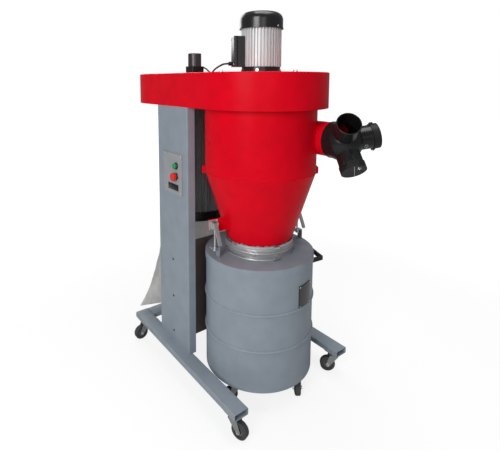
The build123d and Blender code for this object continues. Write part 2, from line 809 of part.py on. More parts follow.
def drum_castors():
    """Four smaller castors on a ring under the drum's base."""
    places = {}
    for index, name in enumerate(drum_castor_headings):
        turn = radians(drum_castor_turn + index * 360 / len(drum_castor_headings))
        places[name] = (drum_castor_ring * cos(turn), drum_castor_ring * sin(turn))
    return castor_set(
        "drum", places, drum_castor_headings, drum_castor_height, drum_wheel_radius, drum_wheel_width,
        drum_castor_trail, drum_castor_plate_width,
    )


def all_nodes():
    """Every named piece of the machine."""
    nodes = frame_nodes()
    nodes["fan_housing"] = fan_housing()
    nodes["cyclone_body"] = cyclone_body()
    nodes["inlet_adapter"] = inlet_adapter()
    nodes["side_port_cap"] = port_cap(0)
    nodes["lower_port_cap"] = port_cap(2)
    nodes.update(motor_nodes())
    nodes.update(cleaner_nodes())
    nodes["motor_cable"] = motor_cable()
    nodes["filter_cartridge"] = filter_cartridge()
    nodes["filter_band"] = filter_band()
    nodes["dust_bag"] = dust_bag()
    nodes.update(hose_nodes())
    nodes["dust_drum"] = dust_drum()
    nodes["drum_lid"] = drum_lid()
    nodes["sight_window"] = window_cut(window_width, window_height, drum_radius, drum_radius + window_sheet)
    nodes["drum_handle"] = drum_handle()
    nodes.update(clamp_nodes())
    nodes.update(control_nodes())
    nodes.update(frame_castors())
    nodes.update(drum_castors())
    return nodes


os.makedirs("parts", exist_ok=True)
for node_name, shape in all_nodes().items():
    export_step(shape, os.path.join("parts", node_name + ".step"))
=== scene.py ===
import json
import math
from functools import partial

import bmesh
import bpy
from mathutils import Matrix, Vector, noise


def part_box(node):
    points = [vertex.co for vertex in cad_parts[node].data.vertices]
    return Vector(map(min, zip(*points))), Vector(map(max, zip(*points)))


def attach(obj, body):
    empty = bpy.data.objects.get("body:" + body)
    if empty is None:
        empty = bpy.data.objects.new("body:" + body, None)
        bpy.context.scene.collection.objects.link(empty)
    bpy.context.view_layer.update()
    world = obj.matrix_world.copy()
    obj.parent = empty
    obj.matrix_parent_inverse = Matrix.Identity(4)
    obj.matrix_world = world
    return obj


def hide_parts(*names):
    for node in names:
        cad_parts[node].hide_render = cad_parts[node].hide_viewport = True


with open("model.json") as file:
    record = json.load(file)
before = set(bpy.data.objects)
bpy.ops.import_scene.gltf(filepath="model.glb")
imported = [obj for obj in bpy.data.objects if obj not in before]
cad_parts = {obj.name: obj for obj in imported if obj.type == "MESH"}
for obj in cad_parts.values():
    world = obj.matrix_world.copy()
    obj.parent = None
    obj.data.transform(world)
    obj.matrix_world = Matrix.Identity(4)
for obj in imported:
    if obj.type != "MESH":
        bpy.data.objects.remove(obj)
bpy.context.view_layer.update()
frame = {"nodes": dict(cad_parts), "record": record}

# Everything is in metres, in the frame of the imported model.

# The upright axis that cyclone, hose and drum share
main_axis = Vector((0, 0, 0))

# Camera, fitted to a picture of 500 by 450 pixels
image_width_px = 500
image_middle_px = (250, 225)
principal_px = (221.78, 126.28)
focal_px = 406.12
sensor_width = 36.0
camera_place = Vector((-1.242, -1.377, 1.419))
camera_yaw = math.radians(36.6)
camera_pitch = math.radians(6.35)

# Surroundings and lamps
fill_strength = 0.25
fill_colour = (0.94, 0.97, 1.0)
floor_half = 14.0
floor_glow = 1.16
floor_near_radius = 1.3
floor_far_radius = 3.4
floor_near_share = 0.72
floor_colour = (0.62, 0.62, 0.62)
floor_roughness = 0.9
lamp_target = Vector((0, 0.15, 0.9))
lamps = {
    "key_lamp": ((-3.6, -1.5, 2.3), 1.8, 93),
    "front_lamp": ((-2.2, -3.7, 2.0), 1.6, 16),
    "rear_lamp": ((0.6, 4.2, 3.0), 2.4, 50),
    "top_lamp": ((0.2, -0.1, 4.4), 2.4, 86),
}

# Depths of the surface relief
coat_grain_depth = 0.00005
coat_wave_depth = 0.0010
plastic_grain_depth = 0.00006
steel_grain_depth = 0.00004
alloy_grain_depth = 0.00015
felt_grain_depth = 0.0004
film_crease_depth = 0.0040
film_wave_depth = 0.005
hose_crease_depth = 0.0008

# Scales of the noise in the finishes
coat_grain_scale = 420
coat_wave_scale = 7
plastic_grain_scale = 600
steel_grain_scale = 140
alloy_grain_scale = 220
felt_grain_scale = 700
film_crease_scale = 60
film_wave_scale = 14
hose_crease_scale = 120
middle_detail = 3
fine_detail = 4
noise_low_share = 0.3
noise_high_share = 0.7
even_stretch = (1, 1, 1)
upright_stretch = (1, 1, 0.08)
film_stretch = (1, 1, 0.5)
plain_drift = (14, 0.06, even_stretch)
own_drifts = {
    "motor_aluminium": (60, 0.1, upright_stretch),
    "filter_media": (40, 0.25, upright_stretch),
    "bag_film": (38, 0.22, film_stretch),
}
gloss_scale = 11
gloss_spread = 0.05
bag_glow_share = 0.6

# Fineness of the small pieces
screw_segments = 18
washer_segments = 20
bolt_sides = 6
round_segments = 40
wire_steps = 40
wire_sides = 10
bead_sides = 6
bevel_segments = 2
bevel_profile_share = 0.5
sharp_angle = math.radians(35)

# Profiles of the small pieces, as shares of their radius and height
screw_height_share = 0.55
screw_profile_shares = [(1, 0), (1, 0.45), (0.86, 0.82), (0.6, 1), (0.45, 1), (0.405, 0.35), (0.135, 0.3)]
washer_radius_share = 1.25
washer_height_share = 0.16
washer_dome_share = 1.2
bolt_height_share = 0.72
bolt_top_radius_share = 0.88
bolt_top_height_share = 0.86
collar_profile_shares = [(1, 0), (1, 0.7), (0.93, 1), (0.83, 1), (0.8, 0.25)]
hub_bump_share = 0.3
hub_profile_shares = [(1, 0), (0.98, 1), (0.8, 1.5), (0.66, 0.3), (0.42, 0.3), (0.36, 2)]
hub_crown_share = 2.3
weld_swell_share = 0.2
weld_ripple = 2.1
seam_bevel_share = 0.25

# Cable, on the same route as its solid
cable_diameter = 0.008
cable_lead = 0.018
cable_bevel_steps = 4
cable_curve_order = 3
gland_turn = math.radians(150)
gland_reach = 0.147
gland_height = 1.496
cable_entry_x = 0.030
cable_entry_height = 1.492
cable_route = [
    (-0.153, 0.101, 1.488),
    (-0.150, 0.140, 1.476),
    (-0.128, 0.190, 1.466),
    (-0.092, 0.250, 1.461),
    (-0.048, 0.318, 1.461),
    (0.000, 0.385, 1.461),
    (0.026, 0.438, 1.466),
    (0.030, 0.476, 1.484),
]

# Film hose
hose_wire_turns = 6
hose_wire_depth = 0.0014
hose_bulge = 0.0030
hose_crumple = 0.0016
hose_film_sheet = 0.0012
hose_film_inset = 0.0006
hose_clamp_share = 0.24
hose_free_share = 0.4
hose_end_share = 0.9
hose_top_fray = 0.006
hose_top_flare = 0.003
hose_foot_flare = 0.002
hose_rows = 48
hose_columns = 300
hose_noise_round = 8
hose_noise_rise = 6
hose_fine_share = 0.6
hose_fine_scale = 2.7
hose_fray_scale = 1.3
hose_fray_drop_share = 0.4

# Dust bag
bag_turn = math.radians(-18)
bag_foot_half = 0.330
bag_mid_share = 0.55
bag_mid_half_width = 0.225
bag_mid_half_depth = 0.141
bag_seam_half_depth = 0.004
bag_neck_inset = 0.008
bag_hem_share = 0.955
bag_hem_step = 0.0025
bag_fold = 0.010
bag_folds = 9
bag_crinkle = 0.008
bag_crease = 0.010
bag_sway = 0.012
bag_rows = 110
bag_columns = 260
bag_slack_end_share = 1.02
bag_slack_power = 0.8
bag_fold_drift = 2.5
bag_fold_top_share = 0.5
bag_noise_round = 3.2
bag_noise_rise = 4.2
bag_fine_share = 0.7
bag_fine_scale = 2.3
bag_crease_share = 0.35
bag_crease_scale = 3.7
bag_foot_flat_share = 0.85
bag_flat_power = 4
bag_hem_run_share = 0.01
bag_sway_scale = 2
bag_sway_row_share = 0.3
bag_side_relief_share = 0.35

# Control panel
control_screw_inset = 0.011
control_screw_radius = 0.0045
collar_radius = 0.0165
collar_height = 0.0042
name_plate_size = (0.0024, 0.092, 0.030)
name_plate_setback = 0.027
name_plate_lift = 0.033
name_plate_bevel = 0.001

# Screws and bolts
column_sides = (("left_column", -1), ("right_column", 1))
column_screw_y = 0.288
column_screw_heights = (0.187, 0.369, 0.557)
column_screw_radius = 0.005
housing_bolt_ring = 0.283
housing_bolt_turns = (-166, -104, 14, 76)
housing_bolt_radius = 0.0078
flange_bolt_turn = -142.5
flange_bolt_lift = 0.010
flange_bolt_radius = 0.0055
cover_screw_turn = -84
cover_screw_count = 3
cover_screw_lift = 0.0075
cover_screw_sink = 0.0022
cover_screw_radius = 0.0048
flange_bolt_count = 4
box_face_reach = 0.129
box_screw_half_width = 0.036
box_screw_inset = 0.010
box_screw_radius = 0.0035
drum_radius = 0.250
window_sheet = 0.004
window_width = 0.084
window_screw_inset = 0.005
window_screw_radius = 0.0032

# Castors
wheel_halves = {"frame": 0.013, "drum": 0.012}
castor_names = {
    "frame": ("front_left", "front_right", "rear_left", "rear_right"),
    "drum": ("front", "right", "back", "left"),
}
hub_sink = 0.0042
hub_radius_share = 0.6
fork_outer_gap = 0.005
axle_bolt_radius = 0.0062

# Inlet adapter and its caps
adapter_place = Vector((0.177, -0.322, 1.168))
port_count = 3
port_turn = math.radians(12)
port_splay = math.radians(54)
port_reach = 0.142
port_radius = 0.050
port_rim = 0.0018
lower_cap_face = 0.145
lower_cap_radius = 0.0533
side_ear_reach = 0.115
side_ear_radius = 0.0533
side_ear_half = 0.008
side_ring_along = 0.007
cap_ring_radius = 0.0070
cap_ring_wire = 0.0013
lower_ring_right = 0.0110
lower_ring_up = 0.026
lower_seam_right = 0.0018
lower_seam_turn = math.radians(26.5)
seam_strip_width = 0.0018
seam_strip_sheet = 0.0010
tether_ring_reach = 0.081
tether_ring_turn = math.radians(299)
own_finishes = {"side_port_cap": "cap_rubber", "lower_port_cap": "cap_rubber"}

# Toggle clamps, worm clamps and welds
clamp_turn = math.radians(-8)
clamp_rods = ((0.2160, 1), (0.2420, -1))
clamp_middle_height = 0.790
clamp_plate_face = -0.003
clamp_screw_near = -0.016
clamp_screw_far = 0.019
clamp_screw_rise = 0.018
clamp_screw_radius = 0.0032
clamp_pivot_y = -0.019
clamp_pivot_height = 0.799
clamp_pivot_half = 0.012
clamp_pivot_radius = 0.0052
worm_turn = math.radians(-104)
worm_reach = 0.1613
worm_half_length = 0.014
worm_heights = (0.6515, 0.6985)
worm_head_radius = 0.0046
barrel_radius = 0.254
crease_height = 1.014
crease_bead = 0.0020
weld_bead = 0.0022
weld_step = 0.006
ring_steps = 180


def centre_of(node):
    """Middle of a node's box."""
    low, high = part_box(node)
    return (low + high) / 2


def make_camera():
    data = bpy.data.cameras.new("photo_camera")
    data.sensor_fit = "HORIZONTAL"
    data.sensor_width = sensor_width
    data.lens = focal_px / image_width_px * sensor_width
    data.shift_x = (image_middle_px[0] - principal_px[0]) / image_width_px
    data.shift_y = (principal_px[1] - image_middle_px[1]) / image_width_px
    camera = bpy.data.objects.new("photo_camera", data)
    flat = math.cos(camera_pitch)
    forward = Vector((math.sin(camera_yaw) * flat, math.cos(camera_yaw) * flat, -math.sin(camera_pitch)))
    right = Vector((math.cos(camera_yaw), -math.sin(camera_yaw), 0))
    up = right.cross(forward)
    turn = Matrix((right, up, -forward)).transposed()
    camera.matrix_world = Matrix.Translation(camera_place) @ turn.to_4x4()
    bpy.context.scene.collection.objects.link(camera)
    bpy.context.scene.camera = camera


class Paint:
    """A Principled material with helpers that add procedural variation."""

    def __init__(self, name, colour, roughness, metallic=0.0, specular=0.5, alpha=1.0):
        self.mat = bpy.data.materials.new(name)
        self.mat.use_nodes = True
        self.tree = self.mat.node_tree
        self.nodes = self.tree.nodes
        self.shader = self.nodes["Principled BSDF"]
        self.colour = colour
        self.roughness = roughness
        values = {
            "Base Color": (*colour, 1), "Roughness": roughness, "Metallic": metallic,
            "Specular IOR Level": specular, "Alpha": alpha,
        }
        for socket, value in values.items():
            self.shader.inputs[socket].default_value = value
        self.place = self.nodes.new("ShaderNodeTexCoord").outputs["Object"]
        self.height = None

    def link(self, start, end):
        self.tree.links.new(start, end)

    def noise(self, scale, detail=3.0, stretch=even_stretch):
        """Noise in object space, stretched along the axes."""
        mapping = self.nodes.new("ShaderNodeMapping")
        mapping.inputs["Scale"].default_value = stretch
        self.link(self.place, mapping.inputs["Vector"])
        pattern = self.nodes.new("ShaderNodeTexNoise")
        pattern.inputs["Scale"].default_value = scale
        pattern.inputs["Detail"].default_value = detail
        self.link(mapping.outputs["Vector"], pattern.inputs["Vector"])
        return pattern.outputs["Fac"]

    def mottle(self, scale, spread, stretch=even_stretch):
        """Slow drift of the base colour."""
        ramp = self.nodes.new("ShaderNodeValToRGB")
        low, high = ramp.color_ramp.elements
        low.position = noise_low_share
        high.position = noise_high_share
        low.color = (*[channel * (1 - spread) for channel in self.colour], 1)
        high.color = (*[min(1, channel * (1 + spread)) for channel in self.colour], 1)
        self.link(self.noise(scale, stretch=stretch), ramp.inputs["Fac"])
        self.link(ramp.outputs["Color"], self.shader.inputs["Base Color"])
        return self

    def gloss_drift(self, scale, spread):
        """Slow drift of the roughness."""
        span = self.nodes.new("ShaderNodeMapRange")
        span.inputs["From Min"].default_value = noise_low_share
        span.inputs["From Max"].default_value = noise_high_share
        span.inputs["To Min"].default_value = max(0, self.roughness - spread)
        span.inputs["To Max"].default_value = min(1, self.roughness + spread)
        self.link(self.noise(scale), span.inputs["Value"])
        self.link(span.outputs["Result"], self.shader.inputs["Roughness"])
        return self

    def grain(self, scale, depth, detail=2.0, stretch=even_stretch):
        """Bump from noise; calls add up."""
        bump = self.nodes.new("ShaderNodeBump")
        bump.inputs["Strength"].default_value = 1.0
        bump.inputs["Distance"].default_value = depth
        self.link(self.noise(scale, detail, stretch), bump.inputs["Height"])
        if self.height is not None:
            self.link(self.height, bump.inputs["Normal"])
        self.height = bump.outputs["Normal"]
        self.link(self.height, self.shader.inputs["Normal"])
        return self

    def glow_through(self, share):
        """Let light from behind shine through a thin film."""
        through = self.nodes.new("ShaderNodeBsdfTranslucent")
        through.inputs["Color"].default_value = (*self.colour, 1)
        mix = self.nodes.new("ShaderNodeMixShader")
        mix.inputs["Fac"].default_value = share
        self.link(self.shader.outputs[0], mix.inputs[1])
        self.link(through.outputs[0], mix.inputs[2])
        self.link(mix.outputs[0], self.nodes["Material Output"].inputs["Surface"])
        return self


def make_materials():
    """One procedural material for each finish on the machine."""
    paints = {
        "red_paint": Paint("red_powder_coat", (0.70, 0.002, 0.013), 0.32, specular=0.06),
        "grey_paint": Paint("grey_powder_coat", (0.265, 0.305, 0.350), 0.45, specular=0.3),
        # The cross panel's dark brown-grey is partly its own coat and partly painted shade for the deep gap
        # between drum, columns and bag.
        "dark_panel": Paint("panel_coat_and_painted_shade", (0.19, 0.15, 0.145), 0.6, specular=0.3),
        "black_plastic": Paint("black_moulding", (0.010, 0.010, 0.011), 0.27, specular=0.34),
        "cap_rubber": Paint("soft_cap", (0.009, 0.009, 0.010), 0.55, specular=0.3),
        "motor_black": Paint("motor_black_coat", (0.012, 0.012, 0.013), 0.24, specular=0.45),
        "motor_aluminium": Paint("motor_fin_alloy", (0.70, 0.74, 0.74), 0.42, metallic=0.12),
        "cleaner_grey": Paint("drive_grey_coat", (0.045, 0.046, 0.048), 0.3, metallic=0.3),
        "cable_sheath": Paint("cable_sheath", (0.010, 0.010, 0.011), 0.5, specular=0.3),
        "filter_media": Paint("filter_felt", (0.40, 0.46, 0.47), 0.8, specular=0.2),
        "bag_film": Paint("bag_film", (0.68, 0.68, 0.66), 0.24, alpha=0.80),
        "hose_film": Paint("hose_foil", (0.40, 0.395, 0.40), 0.34, metallic=0.35),
        "bright_steel": Paint("bright_zinc", (0.62, 0.63, 0.64), 0.28, metallic=0.9),
        "window_pane": Paint("smoked_pane", (0.02, 0.021, 0.023), 0.14, specular=0.6),
        "control_plate": Paint("control_plate_coat", (0.325, 0.335, 0.35), 0.45, specular=0.3),
        "green_plastic": Paint("green_button", (0.01, 0.30, 0.10), 0.3),
        "red_plastic": Paint("red_button", (0.70, 0.020, 0.012), 0.28),
        "castor_steel": Paint("castor_zinc", (0.34, 0.345, 0.35), 0.38, metallic=0.7),
        "castor_rubber": Paint("castor_rubber", (0.055, 0.055, 0.057), 0.6, specular=0.35),
        "hub_plastic": Paint("castor_hub", (0.10, 0.10, 0.105), 0.45),
        "dark_screw": Paint("dark_screw", (0.03, 0.03, 0.032), 0.4, metallic=0.6),
    }
    for slot, paint in paints.items():
        scale, spread, stretch = own_drifts.get(slot, plain_drift)
        paint.mottle(scale, spread, stretch).gloss_drift(gloss_scale, gloss_spread)
    for slot in ("red_paint", "grey_paint", "control_plate"):
        paints[slot].grain(coat_grain_scale, coat_grain_depth).grain(coat_wave_scale, coat_wave_depth)
    for slot in ("black_plastic", "cap_rubber", "motor_black", "cable_sheath", "castor_rubber"):
        paints[slot].grain(plastic_grain_scale, plastic_grain_depth)
    for slot in ("bright_steel", "castor_steel"):
        paints[slot].grain(steel_grain_scale, steel_grain_depth)
    paints["motor_aluminium"].grain(alloy_grain_scale, alloy_grain_depth, middle_detail, upright_stretch)
    paints["filter_media"].grain(felt_grain_scale, felt_grain_depth, fine_detail)
    paints["bag_film"].grain(film_crease_scale, film_crease_depth, fine_detail)
    paints["bag_film"].grain(film_wave_scale, film_wave_depth, middle_detail)
    paints["hose_film"].grain(hose_crease_scale, hose_crease_depth, fine_detail)
    paints["bag_film"].glow_through(bag_glow_share)
    return {slot: paint.mat for slot, paint in paints.items()}


def make_world():
    """White to the camera, dimmer as a fill light."""
    world = bpy.data.worlds.new("studio")
    bpy.context.scene.world = world
    world.use_nodes = True
    tree = world.node_tree
    seen = tree.nodes["Background"]
    seen.inputs["Color"].default_value = (1, 1, 1, 1)
    seen.inputs["Strength"].default_value = 1.0
    fill = tree.nodes.new("ShaderNodeBackground")
    fill.inputs["Color"].default_value = (*fill_colour, 1)
    fill.inputs["Strength"].default_value = fill_strength
    path = tree.nodes.new("ShaderNodeLightPath")
    either = tree.nodes.new("ShaderNodeMath")
    either.operation = "MAXIMUM"
    tree.links.new(path.outputs["Is Camera Ray"], either.inputs[0])
    tree.links.new(path.outputs["Is Transmission Ray"], either.inputs[1])
    mix = tree.nodes.new("ShaderNodeMixShader")
    tree.links.new(either.outputs[0], mix.inputs["Fac"])
    tree.links.new(fill.outputs[0], mix.inputs[1])
    tree.links.new(seen.outputs[0], mix.inputs[2])
    tree.links.new(mix.outputs[0], tree.nodes["World Output"].inputs["Surface"])


def make_floor():
    """Pale floor that turns white away from the machine and keeps its shadow."""
    corners = [(-floor_half, -floor_half, 0), (floor_half, -floor_half, 0)]
    corners += [(floor_half, floor_half, 0), (-floor_half, floor_half, 0)]
    mesh = mesh_from("studio_floor", corners, [(0, 1, 2, 3)])
    floor = bpy.data.objects.new("studio_floor", mesh)
    bpy.context.scene.collection.objects.link(floor)
    mat = bpy.data.materials.new("studio_floor")
    mat.use_nodes = True
    tree = mat.node_tree
    shader = tree.nodes["Principled BSDF"]
    shader.inputs["Base Color"].default_value = (*floor_colour, 1)
    shader.inputs["Roughness"].default_value = floor_roughness
    glow = tree.nodes.new("ShaderNodeEmission")
    glow.inputs["Strength"].default_value = floor_glow
    place = tree.nodes.new("ShaderNodeTexCoord")
    away = tree.nodes.new("ShaderNodeVectorMath")
    away.operation = "LENGTH"
    tree.links.new(place.outputs["Object"], away.inputs[0])
    span = tree.nodes.new("ShaderNodeMapRange")
    span.interpolation_type = "SMOOTHSTEP"
    span.inputs["From Min"].default_value = floor_near_radius
    span.inputs["From Max"].default_value = floor_far_radius
    span.inputs["To Min"].default_value = floor_near_share
    span.inputs["To Max"].default_value = 1.0
    tree.links.new(away.outputs["Value"], span.inputs["Value"])
    path = tree.nodes.new("ShaderNodeLightPath")
    share = tree.nodes.new("ShaderNodeMath")
    share.operation = "MULTIPLY"
    tree.links.new(path.outputs["Is Camera Ray"], share.inputs[0])
    tree.links.new(span.outputs["Result"], share.inputs[1])
    mix = tree.nodes.new("ShaderNodeMixShader")
    tree.links.new(share.outputs[0], mix.inputs["Fac"])
    tree.links.new(shader.outputs[0], mix.inputs[1])
    tree.links.new(glow.outputs[0], mix.inputs[2])
    tree.links.new(mix.outputs[0], tree.nodes["Material Output"].inputs["Surface"])
    mesh.materials.append(mat)


def make_lamps():
    """Soft square lamps that all face the machine."""
    for name, (place, size, power) in lamps.items():
        data = bpy.data.lights.new(name, "AREA")
        data.shape = "SQUARE"
        data.size = size
        data.energy = power
        lamp = bpy.data.objects.new(name, data)
        lamp.location = place
        lamp.rotation_euler = (lamp_target - Vector(place)).to_track_quat("-Z", "Y").to_euler()
        bpy.context.scene.collection.objects.link(lamp)


def add_piece(name, mesh, body, slot, mats):
    """Link a mesh as a piece that rides on a body and takes a finish."""
    obj = bpy.data.objects.new(name, mesh)
    bpy.context.scene.collection.objects.link(obj)
    mesh.materials.append(mats[slot])
    for face in mesh.polygons:
        face.use_smooth = True
    mesh.set_sharp_from_angle(angle=sharp_angle)
    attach(obj, body)
    return obj


def mesh_from(name, verts, faces):
    mesh = bpy.data.meshes.new(name)
    mesh.from_pydata([tuple(v) for v in verts], [], faces)
    mesh.update()
    return mesh


def join_shapes(name, shapes):
    """One mesh from several (verts, faces) shapes."""
    verts = []
    faces = []
    for shape_verts, shape_faces in shapes:
        base = len(verts)
        verts += shape_verts
        faces += [tuple(base + index for index in face) for face in shape_faces]
    return mesh_from(name, verts, faces)


def add_group(name, shapes, slot, mats, body="root"):
    """Several shapes as one piece."""
    return add_piece(name, join_shapes(name, shapes), body, slot, mats)


def strip_faces(rows, columns, closed_rows=False):
    """Quads between rows of points; every row is a closed loop."""
    faces = []
    for row in range(rows if closed_rows else rows - 1):
        here = row * columns
        above = (row + 1) % rows * columns
        for column in range(columns):
            after = (column + 1) % columns
            faces.append((here + column, here + after, above + after, above + column))
    return faces


def turned(profile, segments, place):
    """Closed surface of revolution: profile of (radius, height) pairs, placed by a matrix."""
    turns = [2 * math.pi * step / segments for step in range(segments)]
    verts = []
    for radius, height in profile:
        row = [Vector((radius * math.cos(turn), radius * math.sin(turn), height)) for turn in turns]
        verts += [place @ spot for spot in row]
    faces = strip_faces(len(profile), segments)
    last = (len(profile) - 1) * segments
    faces.append(tuple(reversed(range(segments))))
    faces.append(tuple(last + step for step in range(segments)))
    return verts, faces


def facing(point, direction, spin=0.0):
    """Matrix that puts local +Z along a direction at a point."""
    turn = Vector(direction).to_track_quat("Z", "Y").to_matrix().to_4x4()
    return Matrix.Translation(Vector(point)) @ turn @ Matrix.Rotation(spin, 4, "Z")


def profile_of(shares, radius, height):
    """Profile of (radius, height) pairs from shares of both."""
    return [(radius * wide, height * tall) for wide, tall in shares]


def screw_head(point, direction, radius):
    """Domed screw head with a sunk round socket."""
    profile = profile_of(screw_profile_shares, radius, radius * screw_height_share)
    return turned(profile, screw_segments, facing(point, direction))


def hex_bolt(point, direction, radius, spin=0.0):
    """Hexagon head on a round washer."""
    place = facing(point, direction, spin)
    washer_radius = radius * washer_radius_share
    washer_height = radius * washer_height_share
    washer_dome = washer_height * washer_dome_share
    washer = [(washer_radius, 0), (washer_radius, washer_height), (radius, washer_dome)]
    top = (radius * bolt_top_radius_share, radius * bolt_top_height_share)
    head = [(radius, washer_height), (radius, radius * bolt_height_share), top]
    return [turned(washer, washer_segments, place), turned(head, bolt_sides, place)]


def wire_ring(place, radius, wire):
    """Round ring of wire about local Z."""
    verts = []
    for step in range(wire_steps):
        turn = 2 * math.pi * step / wire_steps
        for side in range(wire_sides):
            angle = 2 * math.pi * side / wire_sides
            reach = radius + wire * math.cos(angle)
            spot = Vector((reach * math.cos(turn), reach * math.sin(turn), wire * math.sin(angle)))
            verts.append(place @ spot)
    faces = strip_faces(wire_steps, wire_sides, closed_rows=True)
    return verts, [tuple(reversed(face)) for face in faces]


def slab(place, size, bevel):
    """Box with rounded edges, placed by a matrix."""
    shape = bmesh.new()
    bmesh.ops.create_cube(shape, size=1.0)
    bmesh.ops.scale(shape, vec=size, verts=shape.verts)
    bmesh.ops.bevel(
        shape, geom=shape.edges[:], offset=bevel, segments=bevel_segments, affect="EDGES",
        profile=bevel_profile_share,
    )
    shape.verts.index_update()
    verts = [place @ v.co for v in shape.verts]
    faces = [tuple(v.index for v in face.verts) for face in shape.faces]
    shape.free()
    return verts, faces


def weld_bead_along(points, radius):
    """Thin uneven bead along a list of points."""
    last = len(points) - 1
    verts = []
    for index, point in enumerate(points):
        before = points[max(0, index - 1)]
        after = points[min(last, index + 1)]
        turn = (after - before).to_track_quat("Z", "Y").to_matrix()
        swell = radius * (1 + weld_swell_share * math.sin(index * weld_ripple))
        for side in range(bead_sides):
            angle = 2 * math.pi * side / bead_sides
            verts.append(point + turn @ Vector((math.cos(angle) * swell, math.sin(angle) * swell, 0)))
    faces = strip_faces(len(points), bead_sides)
    faces.append(tuple(reversed(range(bead_sides))))
    faces.append(tuple(last * bead_sides + side for side in range(bead_sides)))
    return verts, faces


def line_points(start, end, step):
    """Evenly spaced points on a straight line."""
    start = Vector(start)
    end = Vector(end)
    count = max(2, int((end - start).length / step))
    return [start.lerp(end, index / count) for index in range(count + 1)]


def around(axis, turn, reach, height):
    """Point at a turn and reach from an upright axis, and the outward direction there."""
    outward = Vector((math.cos(turn), math.sin(turn), 0))
    return Vector((axis.x, axis.y, height)) + outward * reach, outward


def make_cable(mats):
    outward = Vector((math.cos(gland_turn), math.sin(gland_turn), 0))
    start = outward * gland_reach + Vector((0, 0, gland_height))
    end = Vector((cable_entry_x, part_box("cleaner_base")[0].y, cable_entry_height))
    lead_in = end - Vector((0, cable_lead, 0))
    points = [start, start + outward * cable_lead] + [Vector(p) for p in cable_route] + [lead_in, end]
    data = bpy.data.curves.new("motor_lead", "CURVE")
    data.dimensions = "3D"
    data.bevel_depth = cable_diameter / 2
    data.bevel_resolution = cable_bevel_steps
    spline = data.splines.new("NURBS")
    spline.points.add(len(points) - 1)
    for knot, point in zip(spline.points, points):
        knot.co = (*point, 1)
    spline.order_u = cable_curve_order
    spline.use_endpoint_u = True
    lead = bpy.data.objects.new("motor_lead", data)
    bpy.context.scene.collection.objects.link(lead)
    data.materials.append(mats["cable_sheath"])
    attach(lead, "root")
    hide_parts("motor_cable")


def tube_grid(rows, columns, point):
    """Open tube; point(row share, angle) gives each vertex."""
    verts = []
    for row in range(rows + 1):
        verts += [point(row / rows, 2 * math.pi * column / columns) for column in range(columns)]
    return verts, strip_faces(rows + 1, columns)


def smooth_step(value, low, high):
    """Eased ramp from zero at low to one at high."""
    share = min(1, max(0, (value - low) / (high - low)))
    return share * share * (3 - 2 * share)


def noise_spot(angle, share, round_scale, rise_scale):
    """Place in noise space that closes on itself round a tube."""
    return Vector((math.cos(angle) * round_scale, math.sin(angle) * round_scale, share * rise_scale))


def make_hose(mats):
    """Wrinkled film hose, gathered round a spiral wire between the two clamps."""
    low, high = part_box("flexible_hose")
    middle = centre_of("flexible_hose")
    outer = (high.x - low.x) / 2 - hose_film_inset
    height = high.z - low.z

    def film(inset, share, angle):
        lower_ease = smooth_step(share, hose_clamp_share, hose_free_share)
        upper_ease = smooth_step(1 - share, hose_clamp_share, hose_free_share)
        top_end = smooth_step(share, hose_end_share, 1)
        foot_end = smooth_step(1 - share, hose_end_share, 1)
        wire = hose_wire_depth * math.sin(2 * math.pi * share * hose_wire_turns + angle)
        spot = noise_spot(angle, share, hose_noise_round, hose_noise_rise)
        crease = noise.noise(spot) + hose_fine_share * noise.noise(spot * hose_fine_scale)
        fray = hose_top_fray * (noise.noise(spot * hose_fray_scale) - hose_fray_drop_share) * top_end
        flare = hose_top_flare * top_end + hose_foot_flare * foot_end
        free = lower_ease * upper_ease * (hose_bulge + wire + hose_crumple * crease)
        return around(middle, angle, outer - inset + free + flare, low.z + share * height + fray)[0]

    outside, faces = tube_grid(hose_rows, hose_columns, partial(film, 0))
    inside, inner_faces = tube_grid(hose_rows, hose_columns, partial(film, hose_film_sheet))
    base = len(outside)
    faces += [tuple(base + index for index in reversed(face)) for face in inner_faces]
    top = hose_rows * hose_columns
    for column in range(hose_columns):
        after = (column + 1) % hose_columns
        faces.append((column, base + column, base + after, after))
        faces.append((top + column, top + after, base + top + after, base + top + column))
    sleeve = mesh_from("hose_sleeve", outside + inside, faces)
    piece = add_piece("hose_sleeve", sleeve, "root", "hose_film", mats)
    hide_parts("flexible_hose")


def bag_half_size(share, neck, middle, foot):
    """Quadratic through the neck, the middle and the foot sizes."""
    m = bag_mid_share
    neck_part = neck * (share - m) * (share - 1) / m
    middle_part = middle * share * (share - 1) / (m * (m - 1))
    return neck_part + middle_part + foot * share * (share - m) / (1 - m)


